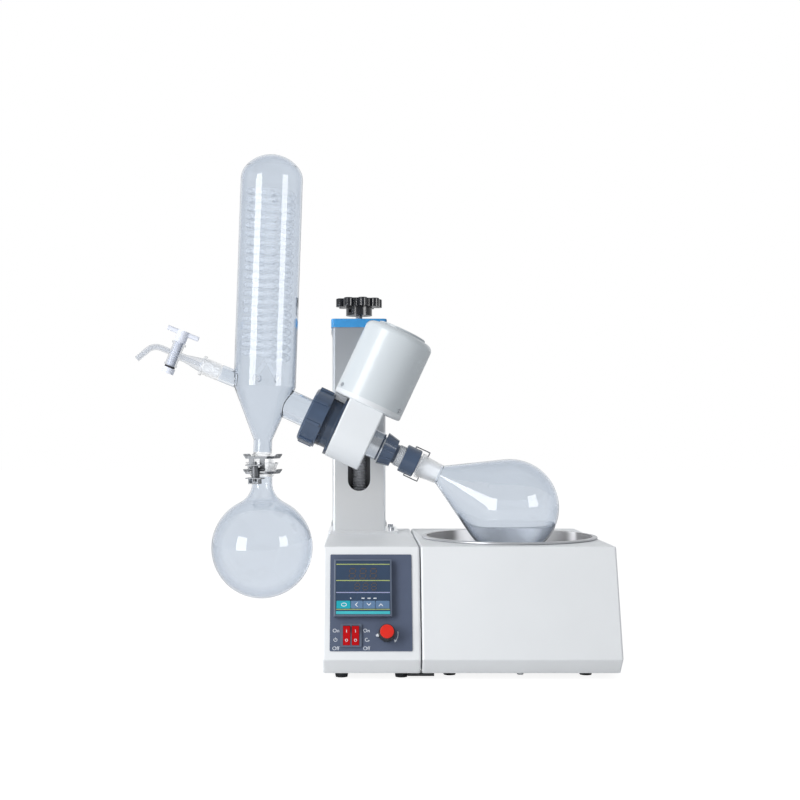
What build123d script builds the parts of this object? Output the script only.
"""Bench-top rotary evaporator: lift column, drive head, glass condenser, two flasks and a heated water bath.

Millimetres, +Z up, +X to the right as seen from the front, +Y to the back. The origin is on the
table, straight below the lead screw. The head is drawn at the height it has in the photograph.
"""

import os
from math import atan2, cos, degrees, hypot, pi, radians, sin, sqrt, tan

from build123d import *

os.makedirs("parts", exist_ok=True)

# Fits shared by the whole machine
running_fit = 0.05  # radial, a shaft that turns or slides in its bearing
thread_fit = 0.1  # radial, a nut on its thread
side_fit = 0.25  # beside a key, a rocker or a plate in its pocket
free_gap = 0.3  # between faces that move past each other
glass_fit = 0.1  # radial, ground glass joints

# Base boxes, folded sheet metal on rubber feet
sheet = 1.5
bend_radius = 3.0
box_top = 163.0
box_front = -250.0
box_depth = 304.0
slant_run = 45.0
nose_height = 28.2
chin_run = 18.0
foot_height = 8.5
control_left = -44.5
control_width = 121.0
box_gap = 1.5
bath_width = 246.5
base_plate_thickness = 2.0

control_right = control_left + control_width
bath_left = control_right + box_gap
bath_right = bath_left + bath_width
box_back = box_front + box_depth
nose_front = box_front - slant_run
chin_front = nose_front + chin_run
slant = atan2(slant_run, box_top - nose_height)

# Feet
foot_radius = 9.0
foot_foot_radius = 7.5
foot_bore = 2.5
foot_stud_length = 6.0
control_foot_inset_x = 23.0
control_foot_inset_front = 24.0
bath_foot_inset_x = 37.0
bath_foot_inset_front = 38.0
foot_inset_back = 20.0
strap_length = 33.0
strap_width = 14.0
strap_thickness = 4.5
strap_inset_front = 12.0
strap_inset_back = 40.0

# Control panel on the slanted front of the control box
panel_width = 101.5
panel_height = 121.0
panel_thickness = 1.2
panel_centre_x = 15.2
panel_drop = 10.6

# Temperature controller
controller_size = 72.0
controller_x = 5.3
controller_down = 54.2
bezel_height = 8.0
bezel_edge = 1.2
controller_body = 67.0
controller_depth = 78.0
lens_size = 67.0
lens_thickness = 1.6
lens_recess = 2.0
key_height = 9.6
key_widths = (17.2, 14.8, 14.8, 17.2)
key_thickness = 5.0
key_travel = 0.6
key_row = -21.4

# Twin rocker switch
switch_x = -9.4
switch_down = 112.6
switch_width = 26.0
switch_height = 28.6
switch_rim = 2.2
switch_body_width = 21.6
switch_body_height = 27.4
switch_depth = 22.0
rocker_width = 8.6
rocker_length = 23.2
rocker_spacing = 10.9
rocker_tip = 8.0
rocker_end_height = 4.6
rocker_middle_height = 3.2
rocker_below = 3.0
rocker_pin_radius = 1.2
rocker_pin_length = 0.9

# Speed knob and its potentiometer
knob_x = 34.6
knob_down = 110.3
knob_skirt_radius = 10.5
knob_top_radius = 9.4
knob_height = 14.0
knob_lift = 1.0
knob_cap_radius = 8.4
knob_cap_thickness = 1.8
pot_shaft_radius = 3.0
pot_bush_radius = 3.5
pot_bush_height = 6.0
pot_nut_radius = 5.5
pot_nut_height = 2.2
pot_body_radius = 8.0
pot_body_depth = 11.0

# Mains inlet on the back of the control box, and the driver board inside it
inlet_width = 30.0
inlet_height = 23.0
inlet_flange = 2.5
inlet_body_width = 27.0
inlet_body_height = 19.5
inlet_depth = 22.0
inlet_mouth_width = 22.6
inlet_mouth_height = 15.6
inlet_mouth_depth = 15.0
inlet_x = 16.0
inlet_z = 55.0
blade_width = 2.0
blade_height = 4.0
blade_spacing = 7.0
board_width = 80.0
board_length = 120.0
board_thickness = 1.6
board_y = -60.0
standoff_height = 10.0
standoff_radius = 3.0
standoff_inset = 5.0
coil_block = 38.0
coil_block_height = 32.0

# Heated water bath
pot_x = 205.4
pot_y = -112.0
pot_rim_radius = 119.5
pot_rim_height = 3.0
pot_radius = 113.5
pot_wall = 1.2
pot_depth = 122.0
pot_corner = 18.0
pot_hole_gap = 1.0
heater_inner_radius = 35.0
heater_outer_radius = 90.0
heater_thickness = 8.0
probe_radius = 3.0
probe_length = 50.0
probe_clip = 0.2

# Lift column
column_size = 76.0
column_wall = 3.0
column_corner = 4.0
column_top = 457.5
column_plate_left_over = 5.3
column_plate_right_over = 17.4
column_plate_front = -49.0
column_plate_depth = 98.0
column_plate_thickness = 3.8
slot_width = 32.0
slot_low = 239.4
slot_high = 392.0
cap_overhang = 1.9
cap_height = 12.4
cap_corner = 5.0
cap_edge = 2.0
cap_hole_radius = 6.5
foot_block_height = 16.0
head_block_height = 12.0
column_screw_head_radius = 3.4
column_screw_head = 1.8
column_screw_radius = 1.9
column_screw_length = 8.0
column_screw_y = 18.0
plate_bolt_clear = 8.6
plate_bolt_y = 30.0
plate_bolt_head_radius = 4.0
plate_bolt_head = 4.4
plate_bolt_radius = 2.4

column_bottom = box_top + column_plate_thickness
column_inner = column_size - 2 * column_wall
column_plate_left = -column_size / 2 - column_plate_left_over
column_plate_width = column_size + column_plate_left_over + column_plate_right_over
cap_size = column_size + 2 * cap_overhang
plate_bolt_x = column_size / 2 + plate_bolt_clear
foot_block_top = column_bottom + foot_block_height
head_block_bottom = column_top - head_block_height

# Lift screw, guide rods and hand wheel
screw_radius = 10.0
journal_radius = 4.75
bush_radius = 9.0
bush_flange_radius = 12.0
bush_flange = 2.0
rod_radius = 5.0
rod_from_wall = 11.0
rod_x = column_inner / 2 - rod_from_wall
rod_seat = 8.0
wheel_hub_radius = 19.0
wheel_hub_bottom = 477.4
wheel_star_bottom = 489.8
wheel_top = 502.0
wheel_radius = 33.9
wheel_lobe_radius = 7.0
wheel_core_radius = 24.5
wheel_lobes = 8
wheel_turn = 11.0
wheel_edge = 1.5
set_screw_radius = 2.5

# Drive head: the rotor axis slopes down to the right, the motor drum stands square on it
head_x = -7.0
head_y = -112.0
head_z = 303.9
head_tilt = 25.0
housing_half = 25.0
housing_radius = 42.0
housing_edge = 2.5
disc_radius = 48.75
disc_bottom = 42.3
disc_top = 49.8
disc_edge = 3.0
cavity_radius = 33.5
cavity_left = -10.0
bearing_radius = 23.5
bearing_width = 7.0
bearing_lip = 3.0
boss_radius = 24.0
boss_back = -62.0
cover_wall = 2.0
cover_top = 153.0
cover_corner = 9.0
cover_spigot_wall = 2.5
cover_spigot_height = 8.0
cover_plate_radius = 34.0
cover_plate_height = 2.0
cover_plate_shift = 0.8
cover_screw_up = 5.2
cover_screw_head_radius = 2.9
cover_screw_head = 1.4
cover_screw_radius = 1.5
cover_screw_angles = (-120, -60, 60, 120)
motor_flange_radius = 38.0
motor_flange = 4.4
motor_radius = 30.0
motor_length = 72.0
motor_tail_radius = 22.0
motor_tail = 6.0
motor_shaft_radius = 4.0
motor_shaft_depth = 20.0

# Carriage and its arm
carriage_side_gap = 4.0
carriage_width = column_inner - 2 * carriage_side_gap
carriage_depth = 44.0
carriage_height = 44.0
arm_radius = 14.0
arm_flange = 8.0

# Rotor and its bevel gears
sleeve_radius = 17.5
sleeve_left = -24.0
collar_radius = 19.2
collar_end = 39.0
sleeve_thread_radius = 16.5
sleeve_end = 57.0
duct_radius = 11.0
duct_wall = 2.2
gear_module = 1.5
gear_teeth = 40
pinion_teeth = 16
gear_face = 8.0
gear_addendum = 1.15
gear_dedendum = 1.75
gear_gap_share = 0.58
gear_back = 14.6

# Black nuts and rings along the rotor axis
flange_radius = 41.5
flange_thickness = 3.8
barrel_radius = 33.5
barrel_end = -58.7
barrel_bore = 20.0
barrel_neck = 13.0
seal_left = -46.0
seal_right = -38.0
gasket_inner = 21.5
gasket_outer = 30.0
gasket_thickness = 2.0
ring_nut_radius = 39.0
ring_nut_rib = 2.4
ring_nut_rib_width = 5.0
ring_nut_ribs = 8
ring_nut_turn = 13.0
ring_nut_right = -44.2
ring_nut_left = -69.6
ring_nut_lip = 3.6
ring_nut_bevel = 3.0
lock_ring_thickness = 2.4
duct_nut_left = 43.3
duct_nut_end = 60.8
duct_nut_radius = 23.0
duct_nut_end_radius = 19.3
duct_nut_flutes = 12
duct_nut_flute = 0.8
duct_nut_lip = 3.4
duct_nut_neck_radius = 13.75
duct_nut_neck_end = 64.7
duct_thread_radius = 14.3
duct_thread_start = 65.0
release_nut_left = 74.1
release_nut_right = 95.5
release_nut_radius = 19.5
release_nut_edge = 1.0

# Evaporating flask, ground neck 24/29
flask_radius = 66.4
flask_wall = 2.2
flask_centre = 236.2
flask_cone_angle = 31.0
flask_mouth = 98.0
flask_bead_radius = 17.25
flask_bead = 5.0
flask_neck_start_radius = 15.5
flask_neck_end_radius = 13.6
cone_large = 12.0
cone_small = 10.55
cone_length = 29.0
clip_wire = 0.8
clip_pivot = 85.0
clip_arm_radius = 21.4
clip_ring_radius = 16.7
clip_hole_depth = 2.2
clip_hole_reach = 5.5
clip_slack = 1.4

# Condenser: glass jacket with a double coil, and the ball joint below it
joint_x = -132.6
joint_z = 266.0
ball_radius = 17.5
ball_cut = -13.0
condenser_lean = 1.97
jacket_radius = 42.6
jacket_wall = 2.4
dome_height = 34.0
dome_shoulder = 26.0
jacket_top = 421.3
cone_top = 104.0
neck_radius = 12.7
neck_top = 31.0
side_tube_radius = 20.0
glass_flange_radius = 29.0
glass_flange = 5.0
glass_flange_gap = 0.2
coil_tube_radius = 3.8
coil_outer_radius = 30.0
coil_inner_radius = 10.6
coil_pitch = 11.6
coil_turns = 20
coil_bottom = 141.0
coil_drop = 24.0
nozzle_radius = 4.5
nozzle_wall = 1.3
nozzle_length = 26.0
nozzle_spread = 15.0
nozzle_collar_radius = 6.5
nozzle_collar = 3.0
vacuum_height = 372.0

# Feed arm, socket 19/26 and stopcock
feed_x = -175.3
feed_z = 382.8
feed_angle = 22.0
feed_mouth = 43.0
feed_collar = 5.0
feed_collar_step = 0.6
feed_stem_length = 24.0
feed_stem_radius = 5.4
socket_radius = 11.6
socket_bead_radius = 14.0
socket_bead = 3.0
feed_cone_large = 9.4
feed_cone_small = 8.1
feed_cone_length = 26.0
feed_bore = 3.0
barrel_place = 83.0
cock_radius = 8.0
cock_half = 17.0
cock_lip_radius = 10.0
cock_lip = 3.0
key_radius = 5.6
key_head_radius = 8.0
key_head_top = 34.5
key_handle_height = 31.0
key_handle_radius = 3.3
key_handle_length = 45.0
key_bore = 2.4
cock_ring = 2.4
cock_ring_radius = 7.2
cock_nut_radius = 8.4
cock_nut = 8.0
spout_radius = 4.1
spout_bore = 2.4
spout_height = 1.0
spout_straight = 104.0
spout_bend = 18.0
spout_turn = 62.0
spout_tip = 19.0
barb_land = 2.0
barb_groove = 1.6
barb_depth = 0.7

# Receiving flask with its spherical cup
receiver_radius = 69.2
receiver_z = 149.2
receiver_neck_radius = 13.7
receiver_fillet = 30.0
receiver_wall = 2.2
cup_low = 247.0
cup_low_radius = 15.5
cup_rim_radius = 22.5

# Fork clamp of the ball joint
clamp_turn = 12.0
fork_half_width = 23.4
fork_flare = 3.4
fork_flare_rise = 4.6
fork_sheet = 1.6
fork_tip = 18.0
fork_back = -26.0
fork_upper_slot = 16.8
fork_lower_slot = 17.6
fork_upper_z = 271.2
fork_lower_top = 252.0
fork_tab_reach = 16.0
fork_upper_tab = 262.0
fork_lower_tab = 246.0
fork_lip = 3.4
fork_lip_back = -9.0
guard_half = 7.2
guard_low = 237.6
hinge_z = 257.0
hinge_radius = 2.6
hinge_pin_radius = 1.3
hinge_half = 11.0
hinge_middle = 4.0
stud_radius = 2.5
stud_over = 4.0
thumb_nut_radius = 4.6
thumb_nut_ribs = 14

# Frames of reference
tilt = radians(head_tilt)
along = Vector(cos(tilt), 0, -sin(tilt))
upward = Vector(sin(tilt), 0, cos(tilt))
head_point = Vector(head_x, head_y, head_z)
head = Plane(origin=head_point, x_dir=along, z_dir=(0, -1, 0))
rotor_axis = Axis(head_point, along)
drum_axis = Axis(head_point, upward)

face = Plane(origin=(0, box_front, box_top), x_dir=(1, 0, 0), z_dir=(0, -cos(slant), sin(slant)))

lean = radians(condenser_lean)
condenser = Plane(origin=(joint_x, head_y, joint_z), x_dir=(cos(lean), 0, -sin(lean)), z_dir=(0, -1, 0))
condenser_axis = Axis(condenser.origin, condenser.y_dir)
receiver = Plane(origin=(joint_x, head_y, 0), x_dir=(1, 0, 0), z_dir=(0, -1, 0))
receiver_axis = Axis((joint_x, head_y, 0), (0, 0, 1))

feed = Plane(
    origin=(feed_x, head_y, feed_z),
    x_dir=(-cos(radians(feed_angle)), 0, sin(radians(feed_angle))),
    z_dir=(0, 1, 0),
)
feed_axis = Axis(feed.origin, feed.x_dir)
cock_origin = feed.origin + feed.x_dir * barrel_place
cock_axis = Axis(cock_origin, feed.y_dir)


def across_rotor(distance):
    """Plane square to the rotor axis; its x is +Y and its y points to the drum."""
    return Plane(origin=head_point + along * distance, x_dir=(0, 1, 0), z_dir=along)


def across_drum(height):
    """Plane square to the drum axis; its x points to the flask and its y is +Y."""
    return Plane(origin=head_point + upward * height, x_dir=along, z_dir=upward)


def on_face(x, down, height=0):
    """Plane on the slanted front, down measured from its top edge, height out of it."""
    place = face.origin + face.x_dir * x - face.y_dir * down + face.z_dir * height
    return Plane(origin=place, x_dir=face.x_dir, z_dir=face.z_dir)


def clamp_plane(height):
    """Level plane of the clamp, its y pointing to the back through the ball joint."""
    turn = radians(clamp_turn)
    return Plane(origin=(joint_x, head_y, height), x_dir=(cos(turn), -sin(turn), 0), z_dir=(0, 0, 1))


def band(start, end, inner, outer):
    """Rectangle of a ring's section in the current sketch: start to end along, inner to outer across."""
    with Locations(((start + end) / 2, (inner + outer) / 2)):
        Rectangle(end - start, outer - inner)


def upright(low, high, inner, outer):
    """Rectangle of a ring's section whose axis is the sketch's y."""
    with Locations(((inner + outer) / 2, (low + high) / 2)):
        Rectangle(outer - inner, high - low)


def rod(start, end, radius, mode=Mode.ADD):
    """Round bar between two points."""
    run = Vector(*end) - Vector(*start)
    with Locations(Plane(origin=start, z_dir=run).location):
        Cylinder(radius, run.length, align=(Align.CENTER, Align.CENTER, Align.MIN), mode=mode)


def ball(place, radius):
    """Ball at a corner between two bars."""
    with Locations(place):
        Sphere(radius)


def save(builder, name):
    """Label a finished piece and write its STEP file."""
    builder.part.label = name
    export_step(builder.part, f"parts/{name}.step")


# Side outline shared by both base boxes
with BuildSketch() as box_side:
    with BuildLine():
        Polyline(
            (box_front, box_top),
            (nose_front, nose_height),
            (chin_front, foot_height),
            (box_back, foot_height),
            (box_back, box_top),
            close=True,
        )
    make_face()

# Control box housing with openings for the panel parts, the mains inlet and the bolts of the column
with BuildPart() as control_box_housing:
    with BuildSketch(Plane.YZ.offset(control_left)):
        add(box_side.sketch_local)
    extrude(amount=control_width)
    underside = faces().sort_by(Axis.Z)[0]
    fillet(edges() - underside.edges(), bend_radius)
    offset(amount=-sheet, openings=faces().sort_by(Axis.Z)[0])
    with BuildSketch(on_face(0, 0)):
        with Locations((controller_x, -controller_down)):
            Rectangle(controller_body + 2 * side_fit, controller_body + 2 * side_fit)
        with Locations((switch_x, -switch_down)):
            Rectangle(switch_body_width + 2 * side_fit, switch_body_height + 2 * side_fit)
        with Locations((knob_x, -knob_down)):
            Circle(pot_bush_radius + side_fit)
    extrude(amount=2 * sheet, both=True, mode=Mode.SUBTRACT)
    with BuildSketch(Plane.XZ.offset(-box_back)):
        with Locations((inlet_x, inlet_z)):
            Rectangle(inlet_body_width + 2 * side_fit, inlet_body_height + 2 * side_fit)
    extrude(amount=2 * sheet, both=True, mode=Mode.SUBTRACT)
    with BuildSketch(Plane.XY.offset(box_top)):
        with Locations((plate_bolt_x, -plate_bolt_y), (plate_bolt_x, plate_bolt_y)):
            Circle(plate_bolt_radius + side_fit)
    extrude(amount=2 * sheet, both=True, mode=Mode.SUBTRACT)
save(control_box_housing, "control_box_housing")

# Bath box housing with the round opening that the pot hangs in
with BuildPart() as bath_box_housing:
    with BuildSketch(Plane.YZ.offset(bath_left)):
        add(box_side.sketch_local)
    extrude(amount=bath_width)
    underside = faces().sort_by(Axis.Z)[0]
    fillet(edges() - underside.edges(), bend_radius)
    offset(amount=-sheet, openings=faces().sort_by(Axis.Z)[0])
    with BuildSketch(Plane.XY.offset(box_top)):
        with Locations((pot_x, pot_y)):
            Circle(pot_radius + pot_hole_gap)
    extrude(amount=2 * sheet, both=True, mode=Mode.SUBTRACT)
save(bath_box_housing, "bath_box_housing")

# Base plates that close both boxes from below
chin_rise = nose_height - foot_height
plate_front = chin_front + sheet * hypot(chin_run, chin_rise) / chin_rise + side_fit
plate_back = box_back - sheet - side_fit
control_feet = [
    (x, y)
    for x in (control_left + control_foot_inset_x, control_right - control_foot_inset_x)
    for y in (chin_front + control_foot_inset_front, box_back - foot_inset_back)
]
bath_feet = [
    (x, y)
    for x in (bath_left + bath_foot_inset_x, bath_right - bath_foot_inset_x)
    for y in (chin_front + bath_foot_inset_front, box_back - foot_inset_back)
]

with BuildPart() as base_plates:
    for left, width, feet in (
        (control_left, control_width, control_feet),
        (bath_left, bath_width, bath_feet),
    ):
        with BuildSketch(Plane.XY.offset(foot_height)):
            with Locations((left + width / 2, (plate_front + plate_back) / 2)):
                RectangleRounded(width - 2 * sheet - 2 * side_fit, plate_back - plate_front, bend_radius)
            with Locations(feet):
                Circle(foot_bore + running_fit, mode=Mode.SUBTRACT)
        extrude(amount=base_plate_thickness)
save(base_plates, "base_plates")

# Rubber feet, each with the stud that holds it in its base plate
with BuildPart() as rubber_feet:
    for x, y in control_feet + bath_feet:
        with BuildSketch(Plane(origin=(x, y, 0), x_dir=(1, 0, 0), z_dir=(0, -1, 0))):
            with BuildLine():
                Polyline(
                    (0, 0),
                    (foot_foot_radius, 0),
                    (foot_radius, foot_height),
                    (foot_bore, foot_height),
                    (foot_bore, foot_height + foot_stud_length),
                    (0, foot_height + foot_stud_length),
                    close=True,
                )
            make_face()
        revolve(axis=Axis((x, y, 0), (0, 0, 1)))
save(rubber_feet, "rubber_feet")

# Straps under both base plates that hold the two boxes side by side
with BuildPart() as link_straps:
    for y in (chin_front + strap_inset_front, box_back - strap_inset_back):
        with Locations((control_right + box_gap / 2, y, foot_height - strap_thickness)):
            Box(strap_length, strap_width, strap_thickness, align=(Align.CENTER, Align.CENTER, Align.MIN))
save(link_straps, "link_straps")

# Control panel plate
panel_middle = panel_drop + panel_height / 2
with BuildPart() as control_panel:
    with BuildSketch(on_face(0, 0)):
        with Locations((panel_centre_x, -panel_middle)):
            RectangleRounded(panel_width, panel_height, 1.5)
        with Locations((controller_x, -controller_down)):
            Rectangle(controller_body + 2 * side_fit, controller_body + 2 * side_fit, mode=Mode.SUBTRACT)
        with Locations((switch_x, -switch_down)):
            cut_width = switch_body_width + 2 * side_fit
            Rectangle(cut_width, switch_body_height + 2 * side_fit, mode=Mode.SUBTRACT)
        with Locations((knob_x, -knob_down)):
            Circle(pot_bush_radius + side_fit, mode=Mode.SUBTRACT)
    extrude(amount=panel_thickness)
save(control_panel, "control_panel")

# Temperature controller: case with its bezel, lens, and a row of four keys
key_pitch = 2 * side_fit
key_row_width = sum(key_widths) + 3 * key_pitch
key_pocket = bezel_height - key_thickness - key_travel - side_fit
lens_bottom = bezel_height - lens_recess
with BuildPart() as controller_case:
    with BuildSketch(on_face(controller_x, controller_down, panel_thickness)):
        RectangleRounded(controller_size, controller_size, bezel_edge)
    extrude(amount=bezel_height)
    front_rim = faces().sort_by(Axis(face.origin, face.z_dir))[-1].edges()
    fillet(front_rim, bezel_edge)
    with BuildSketch(on_face(controller_x, controller_down, panel_thickness)):
        Rectangle(controller_body, controller_body)
    extrude(amount=-controller_depth)
    with BuildSketch(on_face(controller_x, controller_down, panel_thickness + bezel_height)):
        Rectangle(lens_size + 2 * side_fit, lens_size + 2 * side_fit)
    extrude(amount=-lens_recess, mode=Mode.SUBTRACT)
    with BuildSketch(on_face(controller_x, controller_down, panel_thickness + bezel_height)):
        with Locations((0, key_row)):
            Rectangle(key_row_width + 2 * side_fit, key_height + 2 * side_fit)
    extrude(amount=key_pocket - bezel_height, mode=Mode.SUBTRACT)
save(controller_case, "controller_case")

with BuildPart() as controller_lens:
    with BuildSketch(on_face(controller_x, controller_down, panel_thickness + lens_bottom)):
        Rectangle(lens_size, lens_size)
        with Locations((0, key_row)):
            Rectangle(key_row_width + 2 * side_fit, key_height + 2 * side_fit, mode=Mode.SUBTRACT)
    extrude(amount=lens_thickness)
save(controller_lens, "controller_lens")


def make_key(index, name):
    """One key of the controller, counted from the left."""
    left = -key_row_width / 2 + sum(key_widths[:index]) + index * key_pitch
    with BuildPart() as key:
        with BuildSketch(on_face(controller_x, controller_down, panel_thickness + bezel_height)):
            with Locations((left + key_widths[index] / 2, key_row)):
                RectangleRounded(key_widths[index], key_height, 0.8)
        extrude(amount=-key_thickness)
    save(key, name)


make_key(0, "key_set")
make_key(1, "key_shift")
make_key(2, "key_down")
make_key(3, "key_up")

# Twin rocker switch: one frame with two wells, two rockers on their pins
well_width = rocker_width + 2 * side_fit
well_length = rocker_length + 4 * side_fit
well_depth = rocker_below + rocker_length / 2 * sin(radians(rocker_tip)) + 4 * side_fit
switch_middle = on_face(switch_x, switch_down, panel_thickness)
with BuildPart() as switch_frame:
    with BuildSketch(switch_middle):
        RectangleRounded(switch_width, switch_height, 1.5)
    extrude(amount=switch_rim)
    with BuildSketch(switch_middle):
        Rectangle(switch_body_width, switch_body_height)
    extrude(amount=-switch_depth)
    with BuildSketch(on_face(switch_x, switch_down, panel_thickness + switch_rim)):
        with Locations((-rocker_spacing / 2, 0), (rocker_spacing / 2, 0)):
            Rectangle(well_width, well_length)
    extrude(amount=-switch_rim - well_depth, mode=Mode.SUBTRACT)
    pin_reach = rocker_spacing / 2 + rocker_width / 2 + rocker_pin_length + side_fit
    pin_start = switch_middle.origin - face.x_dir * pin_reach
    pin_end = switch_middle.origin + face.x_dir * pin_reach
    rod(pin_start, pin_end, rocker_pin_radius + running_fit, Mode.SUBTRACT)
save(switch_frame, "switch_frame")


def make_rocker(side, name):
    """Rocker in its off place, the lower end pressed in; side is -1 for the left well, 1 for the right."""
    middle = switch_middle.origin + face.x_dir * (side * rocker_spacing / 2)
    start = middle - face.x_dir * (rocker_width / 2)
    tip = radians(rocker_tip)
    section = Plane(origin=start, x_dir=face.y_dir * cos(tip) + face.z_dir * sin(tip), z_dir=face.x_dir)
    half = rocker_length / 2
    with BuildPart() as rocker:
        with BuildSketch(section):
            with BuildLine():
                Polyline(
                    (-half, -rocker_below),
                    (half, -rocker_below),
                    (half, rocker_end_height),
                    (0, rocker_middle_height),
                    (-half, rocker_end_height),
                    close=True,
                )
            make_face()
        extrude(amount=rocker_width)
        pin_half = rocker_width / 2 + rocker_pin_length
        rod(middle - face.x_dir * pin_half, middle + face.x_dir * pin_half, rocker_pin_radius)
    save(rocker, name)


make_rocker(-1, "power_rocker")
make_rocker(1, "motor_rocker")

# Potentiometer behind the panel, its shaft with the speed knob, and the knob's red cap
pot_plane = on_face(knob_x, knob_down, panel_thickness)
pot_under = sheet + panel_thickness
with BuildPart() as potentiometer:
    with BuildSketch(pot_plane):
        Circle(pot_bush_radius)
    extrude(amount=pot_bush_height)
    with BuildSketch(pot_plane):
        Circle(pot_bush_radius)
    extrude(amount=-pot_under)
    with BuildSketch(pot_plane):
        RegularPolygon(pot_nut_radius, 6)
    extrude(amount=pot_nut_height)
    with BuildSketch(pot_plane.offset(-pot_under)):
        Circle(pot_body_radius)
    extrude(amount=-pot_body_depth)
    with BuildSketch(pot_plane.offset(pot_bush_height)):
        Circle(pot_shaft_radius + running_fit)
    extrude(amount=-pot_bush_height - pot_under - pot_body_depth / 2, mode=Mode.SUBTRACT)
save(potentiometer, "potentiometer")

knob_bottom = pot_nut_height + knob_lift - free_gap
with BuildPart() as speed_knob:
    with BuildSketch(Plane(origin=pot_plane.origin, x_dir=face.x_dir, z_dir=-face.y_dir)):
        with BuildLine():
            Polyline(
                (0, knob_bottom + knob_height),
                (knob_top_radius, knob_bottom + knob_height),
                (knob_skirt_radius, knob_bottom),
                (pot_nut_radius + 4 * side_fit, knob_bottom),
                (pot_nut_radius + 4 * side_fit, pot_bush_height + free_gap),
                (pot_shaft_radius, pot_bush_height + free_gap),
                (pot_shaft_radius, free_gap - pot_under - pot_body_depth / 2),
                (0, free_gap - pot_under - pot_body_depth / 2),
                close=True,
            )
        make_face()
    revolve(axis=Axis(pot_plane.origin, face.z_dir))
save(speed_knob, "speed_knob")

with BuildPart() as speed_knob_cap:
    with BuildSketch(pot_plane.offset(knob_bottom + knob_height)):
        Circle(knob_cap_radius)
    extrude(amount=knob_cap_thickness)
    fillet(faces().sort_by(Axis(face.origin, face.z_dir))[-1].edges(), knob_cap_thickness / 3)
save(speed_knob_cap, "speed_knob_cap")

# Mains inlet with three blades
with BuildPart() as mains_inlet:
    with BuildSketch(Plane.XZ.offset(-box_back)):
        with Locations((inlet_x, inlet_z)):
            RectangleRounded(inlet_width, inlet_height, 2)
    extrude(amount=-inlet_flange)
    with BuildSketch(Plane.XZ.offset(-box_back)):
        with Locations((inlet_x, inlet_z)):
            Rectangle(inlet_body_width, inlet_body_height)
    extrude(amount=inlet_depth)
    with BuildSketch(Plane.XZ.offset(-box_back - inlet_flange)):
        with Locations((inlet_x, inlet_z)):
            RectangleRounded(inlet_mouth_width, inlet_mouth_height, 3)
    extrude(amount=inlet_mouth_depth, mode=Mode.SUBTRACT)
    with BuildSketch(Plane.XZ.offset(-box_back - inlet_flange + inlet_mouth_depth)):
        with Locations((inlet_x, inlet_z)):
            with Locations((-blade_spacing, -2), (0, 2), (blade_spacing, -2)):
                Rectangle(blade_width, blade_height)
    extrude(amount=3 - inlet_mouth_depth)
save(mains_inlet, "mains_inlet")

# Driver board on four standoffs
board_x = (control_left + control_right) / 2
plate_top = foot_height + base_plate_thickness
with BuildPart() as driver_board:
    with BuildSketch(Plane.XY.offset(plate_top + standoff_height)):
        with Locations((board_x, board_y)):
            Rectangle(board_width, board_length)
    extrude(amount=board_thickness)
    with BuildSketch(Plane.XY.offset(plate_top)):
        with Locations((board_x, board_y)):
            with GridLocations(board_width - 4 * standoff_inset, board_length - 2 * standoff_inset, 2, 2):
                Circle(standoff_radius)
    extrude(amount=standoff_height)
    with BuildSketch(Plane.XY.offset(plate_top + standoff_height + board_thickness)):
        with Locations((board_x, board_y)):
            Rectangle(coil_block, coil_block)
    extrude(amount=coil_block_height)
save(driver_board, "driver_board")

# Bath pot, drawn as one sheet with a rounded floor and a turned rim
pot_plane_side = Plane(origin=(pot_x, pot_y, box_top), x_dir=(1, 0, 0), z_dir=(0, -1, 0))
pot_axis = Axis((pot_x, pot_y, 0), (0, 0, 1))
pot_floor = pot_rim_height - pot_depth
with BuildPart() as bath_pot:
    with BuildSketch(pot_plane_side):
        upright(pot_floor - pot_wall, pot_rim_height, 0, pot_radius)
    revolve(axis=pot_axis)
    fillet(faces().sort_by(Axis.Z)[0].edges(), pot_corner)
    with BuildSketch(pot_plane_side):
        upright(0, pot_rim_height, 0, pot_rim_radius)
    revolve(axis=pot_axis)
    rim_edges = edges().filter_by(GeomType.CIRCLE).filter_by(lambda e: e.radius > pot_rim_radius - 0.1)
    fillet(rim_edges, pot_rim_height * 0.45)
    with BuildSketch(pot_plane_side) as pot_inside:
        with BuildLine():
            inside_radius = pot_radius - pot_wall
            inside_corner = pot_corner - pot_wall
            bend_x = inside_radius - inside_corner
            bend_y = pot_floor + inside_corner
            Polyline((bend_x, pot_floor), (0, pot_floor), (0, pot_rim_height + 1))
            Polyline((0, pot_rim_height + 1), (inside_radius, pot_rim_height + 1), (inside_radius, bend_y))
            CenterArc((bend_x, bend_y), inside_corner, -90, 90)
        make_face()
    revolve(axis=pot_axis, mode=Mode.SUBTRACT)
save(bath_pot, "bath_pot")

# Heater ring under the pot and the probe beside it
with BuildPart() as bath_heater:
    with BuildSketch(Plane(origin=(pot_x, pot_y, box_top + pot_floor - pot_wall), z_dir=(0, 0, -1))):
        Circle(heater_outer_radius)
        Circle(heater_inner_radius, mode=Mode.SUBTRACT)
    extrude(amount=heater_thickness)
save(bath_heater, "bath_heater")

probe_place = (pot_x - pot_radius - probe_radius - probe_clip, pot_y, box_top + pot_floor + pot_corner)
with BuildPart() as bath_probe:
    rod(probe_place, (probe_place[0], probe_place[1], probe_place[2] + probe_length), probe_radius)
    fillet(edges().filter_by(GeomType.CIRCLE), probe_radius * 0.6)
save(bath_probe, "bath_probe")

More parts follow.
